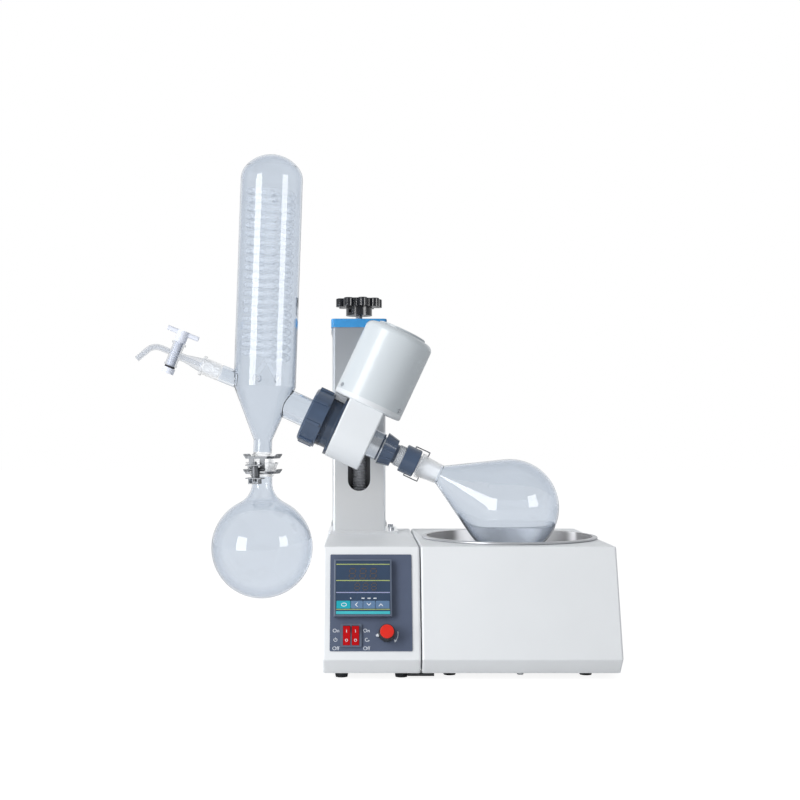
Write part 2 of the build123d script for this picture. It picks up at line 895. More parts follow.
# Column: base plate, tube with its front slot, cap
with BuildPart() as column_base_plate:
    with BuildSketch(Plane.XY.offset(box_top)):
        plate_middle_x = column_plate_left + column_plate_width / 2
        with Locations((plate_middle_x, column_plate_front + column_plate_depth / 2)):
            RectangleRounded(column_plate_width, column_plate_depth, 2)
        with Locations((plate_bolt_x, -plate_bolt_y), (plate_bolt_x, plate_bolt_y)):
            Circle(plate_bolt_radius + side_fit, mode=Mode.SUBTRACT)
    extrude(amount=column_plate_thickness)
save(column_base_plate, "column_base_plate")

column_screw_low = column_bottom + foot_block_height / 2
column_screw_high = column_top - head_block_height / 2
with BuildPart() as column_tube:
    with BuildSketch(Plane.XY.offset(column_bottom)):
        RectangleRounded(column_size, column_size, column_corner)
        RectangleRounded(column_inner, column_inner, column_corner - column_wall, mode=Mode.SUBTRACT)
    extrude(amount=column_top - column_bottom)
    with BuildSketch(Plane.XZ):
        with Locations((0, (slot_low + slot_high) / 2)):
            SlotCenterToCenter(slot_high - slot_low, slot_width, rotation=90)
    extrude(amount=column_size, mode=Mode.SUBTRACT)
    for y in (-column_screw_y, column_screw_y):
        for z in (column_screw_low, column_screw_high):
            hole_radius = column_screw_radius + thread_fit
            rod((-column_size, y, z), (column_size, y, z), hole_radius, Mode.SUBTRACT)
save(column_tube, "column_tube")

with BuildPart() as column_cap:
    with BuildSketch(Plane.XY.offset(column_top)):
        RectangleRounded(cap_size, cap_size, cap_corner)
    extrude(amount=cap_height)
    fillet(faces().sort_by(Axis.Z)[-1].edges(), cap_edge)
    with BuildSketch(Plane.XY.offset(column_top)):
        Circle(cap_hole_radius)
    extrude(amount=cap_height, mode=Mode.SUBTRACT)
save(column_cap, "column_cap")

# Blocks that close the column below and above and carry the bushes and the guide rods
block_size = column_inner - 2 * side_fit
bush_hole = bush_radius + running_fit
with BuildPart() as screw_foot_block:
    with BuildSketch(Plane.XY.offset(column_bottom)):
        RectangleRounded(block_size, block_size, column_corner - column_wall)
        Circle(bush_hole, mode=Mode.SUBTRACT)
    extrude(amount=foot_block_height)
    with BuildSketch(Plane.XY.offset(foot_block_top)):
        with Locations((-rod_x, 0), (rod_x, 0)):
            Circle(rod_radius + running_fit)
    extrude(amount=-rod_seat, mode=Mode.SUBTRACT)
    for y in (-column_screw_y, column_screw_y):
        hole_radius = column_screw_radius + thread_fit
        z = column_screw_low
        rod((-column_size, y, z), (column_size, y, z), hole_radius, Mode.SUBTRACT)
save(screw_foot_block, "screw_foot_block")

with BuildPart() as screw_head_block:
    with BuildSketch(Plane.XY.offset(head_block_bottom)):
        RectangleRounded(block_size, block_size, column_corner - column_wall)
        Circle(bush_hole, mode=Mode.SUBTRACT)
    extrude(amount=head_block_height)
    with BuildSketch(Plane.XY.offset(head_block_bottom)):
        with Locations((-rod_x, 0), (rod_x, 0)):
            Circle(rod_radius + running_fit)
    extrude(amount=rod_seat, mode=Mode.SUBTRACT)
    for y in (-column_screw_y, column_screw_y):
        hole_radius = column_screw_radius + thread_fit
        z = column_screw_high
        rod((-column_size, y, z), (column_size, y, z), hole_radius, Mode.SUBTRACT)
save(screw_head_block, "screw_head_block")

with BuildPart() as screw_bushes:
    with BuildSketch(Plane(origin=(0, 0, 0), x_dir=(1, 0, 0), z_dir=(0, -1, 0))):
        bush_bore = journal_radius + running_fit
        upright(column_bottom, foot_block_top, bush_bore, bush_radius)
        upright(foot_block_top, foot_block_top + bush_flange, bush_bore, bush_flange_radius)
        upright(head_block_bottom, column_top, bush_bore, bush_radius)
        upright(head_block_bottom - bush_flange, head_block_bottom, bush_bore, bush_flange_radius)
    revolve(axis=Axis.Z)
save(screw_bushes, "screw_bushes")

with BuildPart() as guide_rods:
    for x in (-rod_x, rod_x):
        rod((x, 0, foot_block_top - rod_seat), (x, 0, head_block_bottom + rod_seat), rod_radius)
save(guide_rods, "guide_rods")

# Screws through the column's sides and the two bolts beside it
with BuildPart() as column_screws:
    for side in (-1, 1):
        for y in (-column_screw_y, column_screw_y):
            for z in (column_screw_low, column_screw_high):
                wall_x = side * column_size / 2
                rod((wall_x, y, z), (wall_x - side * column_screw_length, y, z), column_screw_radius)
                rod((wall_x, y, z), (wall_x + side * column_screw_head, y, z), column_screw_head_radius)
    for y in (-plate_bolt_y, plate_bolt_y):
        rod((plate_bolt_x, y, column_bottom), (plate_bolt_x, y, box_top - 4 * sheet), plate_bolt_radius)
        bolt_top = column_bottom + plate_bolt_head
        rod((plate_bolt_x, y, column_bottom), (plate_bolt_x, y, bolt_top), plate_bolt_head_radius)
save(column_screws, "column_screws")

# Lead screw with its two journals
screw_bottom = foot_block_top + bush_flange + free_gap
screw_top = head_block_bottom - bush_flange - free_gap
with BuildPart() as lead_screw:
    rod((0, 0, screw_bottom), (0, 0, screw_top), screw_radius)
    chamfer(edges().filter_by(GeomType.CIRCLE), 1.5)
    rod((0, 0, column_bottom + free_gap), (0, 0, screw_bottom), journal_radius)
    rod((0, 0, screw_top), (0, 0, wheel_top - 3), journal_radius)
save(lead_screw, "lead_screw")

# Star hand wheel
with BuildPart() as star_wheel:
    with BuildSketch(Plane.XY.offset(wheel_star_bottom)):
        Circle(wheel_core_radius)
        with PolarLocations(wheel_radius - wheel_lobe_radius, wheel_lobes, start_angle=wheel_turn):
            Circle(wheel_lobe_radius)
        fillet(vertices(), 2.5)
    extrude(amount=wheel_top - wheel_star_bottom)
    fillet(faces().sort_by(Axis.Z)[-1].edges(), wheel_edge)
    with BuildSketch(Plane.XY.offset(wheel_hub_bottom)):
        Circle(wheel_hub_radius)
    extrude(amount=wheel_star_bottom - wheel_hub_bottom)
    with BuildSketch(Plane.XY.offset(wheel_hub_bottom)):
        Circle(journal_radius)
    extrude(amount=wheel_top - 3 - wheel_hub_bottom, mode=Mode.SUBTRACT)
    hub_middle = (wheel_hub_bottom + wheel_star_bottom) / 2
    hole_way = Vector(-sin(radians(44)), -cos(radians(44)), 0)
    hole_start = Vector(0, 0, hub_middle) + hole_way * (wheel_hub_radius - 5)
    rod(hole_start, hole_start + hole_way * 10, set_screw_radius, Mode.SUBTRACT)
save(star_wheel, "star_wheel")

# Carriage: nut block on the screw and the rods, with the arm that reaches through the slot to the head
with BuildPart() as carriage:
    with Locations((0, 0, head_z)):
        Box(carriage_width, carriage_depth, carriage_height)
    fillet(edges().filter_by(Axis.Z), 2)
    rod((head_x + 7, 0, head_z), (head_x + 7, boss_back, head_z), arm_radius)
    rod((head_x, boss_back, head_z), (head_x, boss_back + arm_flange, head_z), boss_radius)
    low = head_z - carriage_height
    high = head_z + carriage_height
    rod((0, 0, low), (0, 0, high), screw_radius + thread_fit, Mode.SUBTRACT)
    for x in (-rod_x, rod_x):
        rod((x, 0, low), (x, 0, high), rod_radius + running_fit, Mode.SUBTRACT)
save(carriage, "carriage")

# Gear housing: half-round barrel, slab up to the disc that the motor stands on, boss at the back for the arm
bearing_right = housing_half - bearing_lip
bearing_left = -bearing_right
with BuildPart() as gear_housing:
    with BuildSketch(across_rotor(-housing_half)):
        Circle(housing_radius)
        with Locations((0, disc_bottom / 2)):
            Rectangle(2 * housing_radius, disc_bottom)
    extrude(amount=2 * housing_half)
    fillet(edges().filter_by(GeomType.CIRCLE), housing_edge)
    with BuildSketch(head):
        upright(disc_bottom, disc_top, 0, disc_radius)
        fillet(vertices().sort_by(Axis.X)[-2:].sort_by(Axis.Y)[0], disc_edge)
    revolve(axis=drum_axis)
    with BuildSketch(across_drum(disc_top)):
        spigot_radius = disc_radius - cover_wall - side_fit
        Circle(spigot_radius)
        Circle(spigot_radius - cover_spigot_wall, mode=Mode.SUBTRACT)
    extrude(amount=cover_spigot_height)
    rod((head_x, head_y + housing_radius / 2, head_z), (head_x, boss_back, head_z), boss_radius)
    with BuildSketch(head):
        band(-housing_half, bearing_right, 0, bearing_radius)
        band(bearing_right, housing_half, 0, sleeve_radius + 2 * free_gap)
        band(cavity_left, bearing_right - bearing_width, 0, cavity_radius)
    revolve(axis=rotor_axis, mode=Mode.SUBTRACT)
    with BuildSketch(across_drum(sleeve_radius)):
        Circle(gear_module * pinion_teeth / 2 + 4)
    extrude(amount=disc_top - sleeve_radius, mode=Mode.SUBTRACT)
    for angle in cover_screw_angles:
        way = along * sin(radians(angle)) + Vector(0, -cos(radians(angle)), 0)
        start = head_point + upward * (disc_top + cover_screw_up)
        hole_radius = cover_screw_radius + thread_fit
        inner_end = spigot_radius - 2 * cover_spigot_wall
        rod(start + way * inner_end, start + way * disc_radius, hole_radius, Mode.SUBTRACT)
save(gear_housing, "gear_housing")

# Motor cover drum with a low round plate on top
with BuildPart() as motor_cover:
    with BuildSketch(across_drum(disc_top)):
        Circle(disc_radius)
    extrude(amount=cover_top - disc_top)
    fillet(faces().sort_by(drum_axis)[-1].edges(), cover_corner)
    with BuildSketch(across_drum(cover_top)):
        with Locations((cover_plate_shift, 0)):
            Circle(cover_plate_radius)
    extrude(amount=cover_plate_height)
    fillet(faces().sort_by(drum_axis)[-1].edges(), cover_plate_height / 4)
    with BuildSketch(head):
        with BuildLine():
            inside = disc_radius - cover_wall
            inside_top = cover_top - cover_wall
            inside_bend = cover_corner - cover_wall
            Polyline((inside, inside_top - inside_bend), (inside, disc_top), (0, disc_top), (0, inside_top))
            Line((0, inside_top), (inside - inside_bend, inside_top))
            CenterArc((inside - inside_bend, inside_top - inside_bend), inside_bend, 0, 90)
        make_face()
    revolve(axis=drum_axis, mode=Mode.SUBTRACT)
    for angle in cover_screw_angles:
        way = along * sin(radians(angle)) + Vector(0, -cos(radians(angle)), 0)
        start = head_point + upward * (disc_top + cover_screw_up)
        hole_radius = cover_screw_radius + thread_fit
        rod(start + way * (inside - 3), start + way * (disc_radius + 3), hole_radius, Mode.SUBTRACT)
save(motor_cover, "motor_cover")

with BuildPart() as cover_screws:
    for angle in cover_screw_angles:
        way = along * sin(radians(angle)) + Vector(0, -cos(radians(angle)), 0)
        start = head_point + upward * (disc_top + cover_screw_up)
        seat = disc_radius + free_gap / 3
        rod(start + way * (spigot_radius - cover_spigot_wall), start + way * seat, cover_screw_radius)
        rod(start + way * seat, start + way * (seat + cover_screw_head), cover_screw_head_radius)
save(cover_screws, "cover_screws")

# Motor on the disc
with BuildPart() as drive_motor:
    with BuildSketch(across_drum(disc_top)):
        Circle(motor_flange_radius)
    extrude(amount=motor_flange)
    with BuildSketch(across_drum(disc_top + motor_flange)):
        Circle(motor_radius)
    extrude(amount=motor_length)
    with BuildSketch(across_drum(disc_top + motor_flange + motor_length)):
        Circle(motor_tail_radius)
    extrude(amount=motor_tail)
    with BuildSketch(across_drum(disc_top)):
        Circle(motor_shaft_radius + running_fit)
    extrude(amount=motor_shaft_depth + free_gap, mode=Mode.SUBTRACT)
save(drive_motor, "drive_motor")

# Bearings of the rotor
with BuildPart() as rotor_bearings:
    with BuildSketch(head):
        race = sleeve_radius + running_fit
        band(bearing_left, bearing_left + bearing_width, race, bearing_radius)
        band(bearing_right - bearing_width, bearing_right, race, bearing_radius)
    revolve(axis=rotor_axis)
save(rotor_bearings, "rotor_bearings")

# Bevel gears: the pitch cones meet where the rotor axis and the drum axis cross
gear_pitch_radius = gear_module * gear_teeth / 2
pinion_pitch_radius = gear_module * pinion_teeth / 2
cone_reach = hypot(gear_pitch_radius, pinion_pitch_radius)
small_share = (cone_reach - gear_face) / cone_reach
gear_cone = atan2(gear_pitch_radius, pinion_pitch_radius)
pinion_cone = pi / 2 - gear_cone


def cone_point(angle, reach, out):
    """Point of a pitch cone's section, axial then radial, moved out of the cone by the given height."""
    return (reach * cos(angle) - out * sin(angle), reach * sin(angle) + out * cos(angle))


def gap_cutter(axial, radial, angle):
    """Wedge between two teeth, tapered to the point where both axes cross."""
    line = axial * cos(angle) + radial * sin(angle)
    side = radial.cross(axial)
    with BuildPart() as cutter:
        for share in (small_share * 0.9, 1.1):
            pitch = pi * gear_module * share * gear_gap_share
            low = -gear_dedendum * share
            high = 2 * gear_addendum * share
            spread = tan(radians(20))
            with BuildSketch(Plane(origin=head_point + line * (cone_reach * share), x_dir=side, z_dir=line)):
                with BuildLine():
                    Polyline(
                        (-pitch / 2 - spread * low, low),
                        (pitch / 2 + spread * low, low),
                        (pitch / 2 + spread * high, high),
                        (-pitch / 2 - spread * high, high),
                        close=True,
                    )
                make_face()
        loft()
    return cutter.part


gear_gap = gap_cutter(along, upward, gear_cone)
pinion_gap = gap_cutter(upward, along, pinion_cone)

with BuildPart() as ring_gear:
    with BuildSketch(head):
        with BuildLine():
            tip_small = cone_point(gear_cone, cone_reach * small_share, gear_addendum * small_share)
            tip_large = cone_point(gear_cone, cone_reach, gear_addendum)
            root_large = cone_point(gear_cone, cone_reach, -1.4 * gear_dedendum)
            root_small = cone_point(gear_cone, cone_reach * small_share, -1.4 * gear_dedendum * small_share)
            Polyline(
                tip_small,
                tip_large,
                root_large,
                (gear_back, root_large[1]),
                (gear_back, sleeve_radius),
                (root_small[0], sleeve_radius),
                root_small,
                close=True,
            )
        make_face()
    revolve(axis=rotor_axis)
    gaps = [gear_gap.rotate(rotor_axis, 360 / gear_teeth * tooth) for tooth in range(gear_teeth)]
    add(gaps, mode=Mode.SUBTRACT)
save(ring_gear, "ring_gear")

with BuildPart() as motor_pinion:
    with BuildSketch(head):
        with BuildLine():
            tip_small = cone_point(pinion_cone, cone_reach * small_share, gear_addendum * small_share)
            tip_large = cone_point(pinion_cone, cone_reach, gear_addendum)
            root_large = cone_point(pinion_cone, cone_reach, -2 * gear_dedendum)
            Polyline(
                (0, tip_small[0]),
                (tip_small[1], tip_small[0]),
                (tip_large[1], tip_large[0]),
                (root_large[1], root_large[0]),
                (0, root_large[0]),
                close=True,
            )
        make_face()
    revolve(axis=drum_axis)
    step = 360 / pinion_teeth
    gaps = [pinion_gap.rotate(drum_axis, step * (tooth + 0.5)) for tooth in range(pinion_teeth)]
    add(gaps, mode=Mode.SUBTRACT)
    shaft_low = head_point + upward * tip_small[0]
    rod(shaft_low, head_point + upward * (disc_top + motor_shaft_depth), motor_shaft_radius)
save(motor_pinion, "motor_pinion")

# Rotor sleeve with its collar and thread
duct_bore = duct_radius - duct_wall
collar_start = housing_half + free_gap
with BuildPart() as rotor_sleeve:
    with BuildSketch(head):
        sleeve_bore = duct_radius + glass_fit
        band(sleeve_left, collar_start, sleeve_bore, sleeve_radius)
        band(collar_start, collar_end, sleeve_bore, collar_radius)
        band(collar_end, sleeve_end, sleeve_bore, sleeve_thread_radius)
    revolve(axis=rotor_axis)
save(rotor_sleeve, "rotor_sleeve")

with BuildPart() as lock_ring:
    with BuildSketch(head):
        band(collar_end, collar_end + lock_ring_thickness, sleeve_thread_radius + thread_fit, collar_radius)
    revolve(axis=rotor_axis)
save(lock_ring, "lock_ring")

# Duct nut, a fluted cone with a short neck
with BuildPart() as duct_nut:
    with BuildSketch(head):
        with BuildLine():
            Polyline(
                (duct_nut_left, sleeve_thread_radius + thread_fit),
                (duct_nut_left, duct_nut_radius),
                (duct_nut_end, duct_nut_end_radius),
                (duct_nut_end, duct_nut_neck_radius),
                (duct_nut_neck_end, duct_nut_neck_radius),
                (duct_nut_neck_end, duct_radius + free_gap),
                (duct_nut_end - duct_nut_lip, duct_radius + free_gap),
                (duct_nut_end - duct_nut_lip, sleeve_thread_radius + thread_fit),
                close=True,
            )
        make_face()
    revolve(axis=rotor_axis)
    flute_radius = 2.2
    for flute in range(duct_nut_flutes):
        angle = 2 * pi * flute / duct_nut_flutes
        way = upward * cos(angle) + Vector(0, 1, 0) * sin(angle)
        near = head_point + along * (duct_nut_left - 1)
        far = head_point + along * (duct_nut_end + 1)
        taper = (duct_nut_radius - duct_nut_end_radius) / (duct_nut_end - duct_nut_left)
        near = near + way * (duct_nut_radius + taper + flute_radius - duct_nut_flute)
        far = far + way * (duct_nut_end_radius - taper + flute_radius - duct_nut_flute)
        rod(near, far, flute_radius, Mode.SUBTRACT)
save(duct_nut, "duct_nut")

# Vapour duct: glass tube from the seal to the flask's neck, with a threaded band and a ground cone
with BuildPart() as vapour_duct:
    with BuildSketch(head):
        with BuildLine():
            Polyline(
                (seal_left - 8, duct_bore),
                (seal_left - 8, duct_radius),
                (duct_thread_start, duct_radius),
                (duct_thread_start, duct_thread_radius),
                (release_nut_right - 2, duct_thread_radius),
                (flask_mouth - 0.5, cone_large),
                (flask_mouth, cone_large),
                (flask_mouth + cone_length, cone_small),
                (flask_mouth + cone_length, cone_small - duct_wall),
                (flask_mouth, duct_bore),
                close=True,
            )
        make_face()
    revolve(axis=rotor_axis)
save(vapour_duct, "vapour_duct")

# Release nut that carries the flask clip
with BuildPart() as release_nut:
    with BuildSketch(head):
        band(release_nut_left, release_nut_right, duct_thread_radius + thread_fit, release_nut_radius)
    revolve(axis=rotor_axis)
    rims = edges().filter_by(GeomType.CIRCLE).filter_by(lambda e: e.radius > release_nut_radius - 0.1)
    chamfer(rims, release_nut_edge)
    for side in (-1, 1):
        pivot = head_point + along * clip_pivot
        seat = pivot + upward * (side * (release_nut_radius - clip_hole_depth - free_gap))
        outside = pivot + upward * (side * (release_nut_radius + clip_hole_reach))
        rod(seat, outside, clip_wire + running_fit, Mode.SUBTRACT)
save(release_nut, "release_nut")

# Evaporating flask: bead, ground neck, cone and sphere
cone_slope = radians(flask_cone_angle)


def flask_outline(radius, neck_points):
    """Half section of the flask between its neck and its far pole, for a sphere of the given radius."""
    meet = (flask_centre - radius * sin(cone_slope), radius * cos(cone_slope))
    start_radius = neck_points[-1][1]
    shoulder = meet[0] - (meet[1] - start_radius) / tan(cone_slope)
    with BuildSketch() as outline:
        with BuildLine():
            Polyline((flask_centre + radius, 0), (neck_points[0][0], 0), *neck_points)
            Polyline(neck_points[-1], (shoulder, start_radius), meet)
            CenterArc((flask_centre, 0), radius, 0, 90 + flask_cone_angle)
        make_face()
    return outline.sketch_local


bead_end = flask_mouth + flask_bead
with BuildPart() as evaporating_flask:
    with BuildSketch(head):
        outer_neck = (
            (flask_mouth, flask_bead_radius),
            (bead_end, flask_bead_radius),
            (bead_end, flask_neck_start_radius),
            (flask_mouth + cone_length, flask_neck_end_radius),
        )
        add(flask_outline(flask_radius, outer_neck))
        inner_neck = (
            (flask_mouth, cone_large + glass_fit),
            (flask_mouth + cone_length, cone_small + glass_fit),
        )
        add(flask_outline(flask_radius - flask_wall, inner_neck), mode=Mode.SUBTRACT)
    revolve(axis=rotor_axis)
save(evaporating_flask, "evaporating_flask")

# Flask clip: one wire from pivot to pivot, round the back of the neck behind the bead
clip_ring = bead_end + clip_wire + clip_slack
with BuildPart() as flask_clip:
    for side in (-1, 1):
        pivot = head_point + along * clip_pivot
        corner = head_point + along * clip_ring
        inner = pivot + upward * (side * (release_nut_radius - clip_hole_depth))
        elbow = pivot + upward * (side * clip_arm_radius)
        shoulder = corner + upward * (side * clip_arm_radius)
        rod(inner, elbow, clip_wire)
        ball(elbow, clip_wire)
        rod(elbow, shoulder, clip_wire)
        ball(shoulder, clip_wire)
        rod(shoulder, corner + upward * (side * clip_ring_radius), clip_wire)
        ball(corner + upward * (side * clip_ring_radius), clip_wire)
    ring_plane = Plane(origin=corner + upward * clip_ring_radius, x_dir=along, z_dir=(0, 1, 0))
    with BuildSketch(ring_plane):
        Circle(clip_wire)
    revolve(axis=Axis(head_point, -along), revolution_arc=180)
save(flask_clip, "flask_clip")

# Seal flange: flange on the housing, threaded barrel for the ring nut, spigot against the bearing
flange_left = -housing_half - flange_thickness
with BuildPart() as seal_flange:
    with BuildSketch(head):
        band(flange_left, -housing_half, barrel_neck, flange_radius)
        band(barrel_end, flange_left, barrel_neck, barrel_radius)
        spigot_end = bearing_left - running_fit
        band(-housing_half, spigot_end, sleeve_radius + 2 * free_gap, bearing_radius - running_fit)
        with Locations(((barrel_end + seal_right) / 2, barrel_bore / 2)):
            Rectangle(seal_right - barrel_end, barrel_bore, mode=Mode.SUBTRACT)
    revolve(axis=rotor_axis)
save(seal_flange, "seal_flange")

# Shaft seal on the duct, gasket under the condenser's flange and ring under the stopcock's barrel
glass_flange_right = barrel_end - gasket_thickness
with BuildPart() as head_seals:
    with BuildSketch(head):
        band(seal_left, seal_right, duct_radius + running_fit, barrel_bore - running_fit)
        band(glass_flange_right, barrel_end, gasket_inner, gasket_outer)
    revolve(axis=rotor_axis)
    with BuildSketch(feed):
        with Locations((barrel_place, 0)):
            upright(-cock_half - cock_ring, -cock_half, key_radius + running_fit, cock_ring_radius)
    revolve(axis=cock_axis)
save(head_seals, "head_seals")

# Ribbed ring nut that holds the condenser on the barrel
with BuildPart() as ring_nut:
    with BuildSketch(head):
        with BuildLine():
            Polyline(
                (ring_nut_left, side_tube_radius + 5 * free_gap),
                (ring_nut_left, ring_nut_radius - ring_nut_bevel),
                (ring_nut_left + ring_nut_bevel, ring_nut_radius),
                (ring_nut_right, ring_nut_radius),
                (ring_nut_right, barrel_radius + thread_fit),
                (ring_nut_left + ring_nut_lip, barrel_radius + thread_fit),
                (ring_nut_left + ring_nut_lip, side_tube_radius + 5 * free_gap),
                close=True,
            )
        make_face()
    revolve(axis=rotor_axis)
    with BuildSketch(across_rotor(ring_nut_left + ring_nut_bevel)):
        with PolarLocations(ring_nut_radius, ring_nut_ribs, start_angle=ring_nut_turn):
            RectangleRounded(2 * ring_nut_rib, ring_nut_rib_width, ring_nut_rib / 2)
    extrude(amount=ring_nut_right - ring_nut_left - 2 * ring_nut_bevel)
save(ring_nut, "ring_nut")

# Condenser jacket: dome, cylinder, cone, neck and ball in one glass, with the side tube, the feed
# socket and the nozzles
nozzle_low = coil_bottom - coil_drop
dome_base = jacket_top - dome_height
dome_bend_x = jacket_radius - dome_shoulder
dome_crown = (dome_bend_x**2 + dome_height**2 - dome_shoulder**2) / (2 * (dome_height - dome_shoulder))
dome_angle = degrees(atan2(dome_crown - dome_height, dome_bend_x))


def jacket_outline(wall):
    """Half section of the jacket, moved in from the outside by the given wall."""
    wide = jacket_radius - wall
    slim = neck_radius - wall
    with BuildSketch() as outline:
        with BuildLine():
            Polyline((0, jacket_top - wall), (0, 0), (slim, 0), (slim, neck_top))
            Polyline((slim, neck_top), (wide, cone_top), (wide, dome_base))
            CenterArc((dome_bend_x, dome_base), dome_shoulder - wall, 0, dome_angle)
            CenterArc((0, jacket_top - dome_crown), dome_crown - wall, dome_angle, 90 - dome_angle)
        make_face()
    return outline.sketch_local


with BuildPart() as condenser_jacket:
    with BuildSketch(condenser):
        add(jacket_outline(0))
    revolve(axis=condenser_axis)
    with BuildSketch(condenser):
        with BuildLine():
            ball_edge = sqrt(ball_radius**2 - ball_cut**2)
            Polyline((ball_edge, ball_cut), (0, ball_cut), (0, ball_radius))
            ThreePointArc((ball_edge, ball_cut), (ball_radius, 0), (0, ball_radius))
        make_face()
    revolve(axis=condenser_axis)
    side_start = glass_flange_right - glass_flange
    side_end = (joint_x - head_x) / cos(tilt)
    with BuildSketch(head):
        band(side_end, side_start, 0, side_tube_radius)
        band(side_start, glass_flange_right, 0, glass_flange_radius)
    revolve(axis=rotor_axis)
    with BuildSketch(feed):
        band(-jacket_radius, feed_mouth - socket_bead, 0, socket_radius)
        band(feed_mouth - socket_bead, feed_mouth, 0, socket_bead_radius)
    revolve(axis=feed_axis)
    jacket_back = jacket_radius + nozzle_length
    nozzle_places = ((-nozzle_spread, nozzle_low), (nozzle_spread, nozzle_low), (0, vacuum_height))
    for aside, height in nozzle_places:
        root = condenser.origin + condenser.x_dir * aside + condenser.y_dir * height
        wall_place = sqrt((jacket_radius - jacket_wall / 2) ** 2 - aside**2)
        rod(root + Vector(0, wall_place, 0), root + Vector(0, jacket_back, 0), nozzle_radius)
        shoulder = jacket_radius + nozzle_collar
        rod(root + Vector(0, coil_outer_radius, 0), root + Vector(0, shoulder, 0), nozzle_collar_radius)
    with BuildSketch(condenser):
        add(jacket_outline(jacket_wall))
        upright(ball_cut, neck_top, 0, neck_radius - jacket_wall)
    revolve(axis=condenser_axis, mode=Mode.SUBTRACT)
    with BuildSketch(head):
        band(side_end, glass_flange_right, 0, side_tube_radius - jacket_wall)
    revolve(axis=rotor_axis, mode=Mode.SUBTRACT)
    with BuildSketch(feed):
        with BuildLine():
            joint_end = feed_mouth - feed_cone_length
            Polyline(
                (-jacket_radius, 0),
                (-jacket_radius, feed_cone_small),
                (joint_end, feed_cone_small + glass_fit),
                (feed_mouth, feed_cone_large + glass_fit),
                (feed_mouth, 0),
                close=True,
            )
        make_face()
    revolve(axis=feed_axis, mode=Mode.SUBTRACT)
    for aside, height in nozzle_places:
        root = condenser.origin + condenser.x_dir * aside + condenser.y_dir * height
        bore = nozzle_radius - nozzle_wall
        rod(root + Vector(0, coil_outer_radius, 0), root + Vector(0, jacket_back + 1, 0), bore, Mode.SUBTRACT)
save(condenser_jacket, "condenser_jacket")


# Double coil: half turns that lean to and fro and join smoothly, one tube from nozzle to nozzle
def half_turns(radius, low, turns, pitch):
    """Points of the half turns about the condenser's axis, three to an arc, starting at the back."""
    back = Vector(0, 1, 0)
    aside = condenser.x_dir
    for turn in range(2 * turns):
        swing = 1 if turn % 2 == 0 else -1
        base = condenser.origin + condenser.y_dir * (low + turn * pitch / 2)
        rise = condenser.y_dir * (pitch / 2)
        depth = back * (swing * radius)
        yield (base + depth, base + rise / 2 + aside * radius * swing, base + rise - depth)


coil_top = coil_bottom + coil_turns * coil_pitch
with BuildPart() as condenser_coil:
    for radius in (coil_outer_radius, coil_inner_radius):
        with BuildLine() as coil_path:
            for first, middle, last in half_turns(radius, coil_bottom, coil_turns, coil_pitch):
                ThreePointArc(first, middle, last)
        coil_start = condenser.origin + condenser.y_dir * coil_bottom + Vector(0, radius, 0)
        with BuildSketch(Plane(origin=coil_start, z_dir=condenser.x_dir)):
            Circle(coil_tube_radius)
        sweep(path=coil_path.line)
    upper = condenser.origin + condenser.y_dir * coil_top
    outer_top = upper + Vector(0, coil_outer_radius, 0)
    inner_top = upper + Vector(0, coil_inner_radius, 0)
    ball(outer_top, coil_tube_radius)
    ball(inner_top, coil_tube_radius)
    rod(outer_top, inner_top, coil_tube_radius)
    lead_end = jacket_radius - jacket_wall - 2 * free_gap
    for radius, aside in ((coil_inner_radius, -nozzle_spread), (coil_outer_radius, nozzle_spread)):
        high = condenser.origin + condenser.y_dir * coil_bottom + Vector(0, radius, 0)
        low = condenser.origin + condenser.y_dir * nozzle_low + condenser.x_dir * aside
        reach = sqrt(lead_end**2 - (abs(aside) + coil_tube_radius) ** 2)
        turn_in = low + Vector(0, coil_inner_radius, 0)
        ball(high, coil_tube_radius)
        rod(high, turn_in, coil_tube_radius)
        ball(turn_in, coil_tube_radius)
        rod(turn_in, low + Vector(0, reach, 0), coil_tube_radius)
save(condenser_coil, "condenser_coil")

# Feed stopcock: glass barrel with its ground cone and bent spout
spout_start = barrel_place + cock_radius - 2
spout_exit = radians(spout_turn)
bend_end = (spout_straight + spout_bend * sin(spout_exit), spout_height - spout_bend * (1 - cos(spout_exit)))
spout_way = (cos(spout_exit), -sin(spout_exit))
tip_end = (bend_end[0] + spout_tip * spout_way[0], bend_end[1] + spout_tip * spout_way[1])


def feed_point(place):
    """World point of a place in the feed plane."""
    return feed.origin + feed.x_dir * place[0] + feed.y_dir * place[1]


